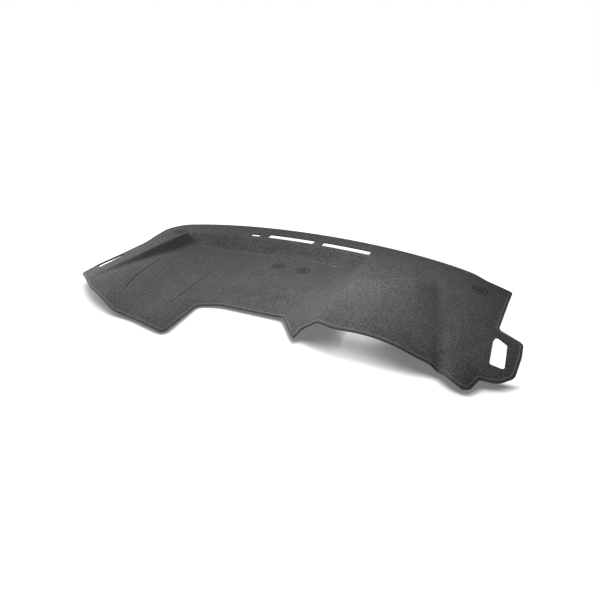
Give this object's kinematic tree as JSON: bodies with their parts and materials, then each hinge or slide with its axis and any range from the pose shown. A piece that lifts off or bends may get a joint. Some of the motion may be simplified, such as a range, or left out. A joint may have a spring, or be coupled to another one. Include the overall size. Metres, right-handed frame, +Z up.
{
  "type": "dashboard cover mat",
  "caption": "Moulded charcoal carpet cover for a car dashboard with raised instrument hood, demister slots, speaker holes and a taped edge.",
  "frame": {"origin": "centre of the bounding box in plan, on the surface that the mat lies on", "axes": "+X towards the driver's end, which is the vehicle's right, +Y towards the windscreen, +Z up"},
  "size_m": [1.3746, 0.7614, 0.1117],
  "materials": {
    "carpet": "matt short-pile carpet",
    "edge_tape": "matt woven tape"
  },
  "bodies": {
    "root": {"carpet_mat": "carpet", "edge_binding": "edge_tape"}
  },
  "joints": []
}
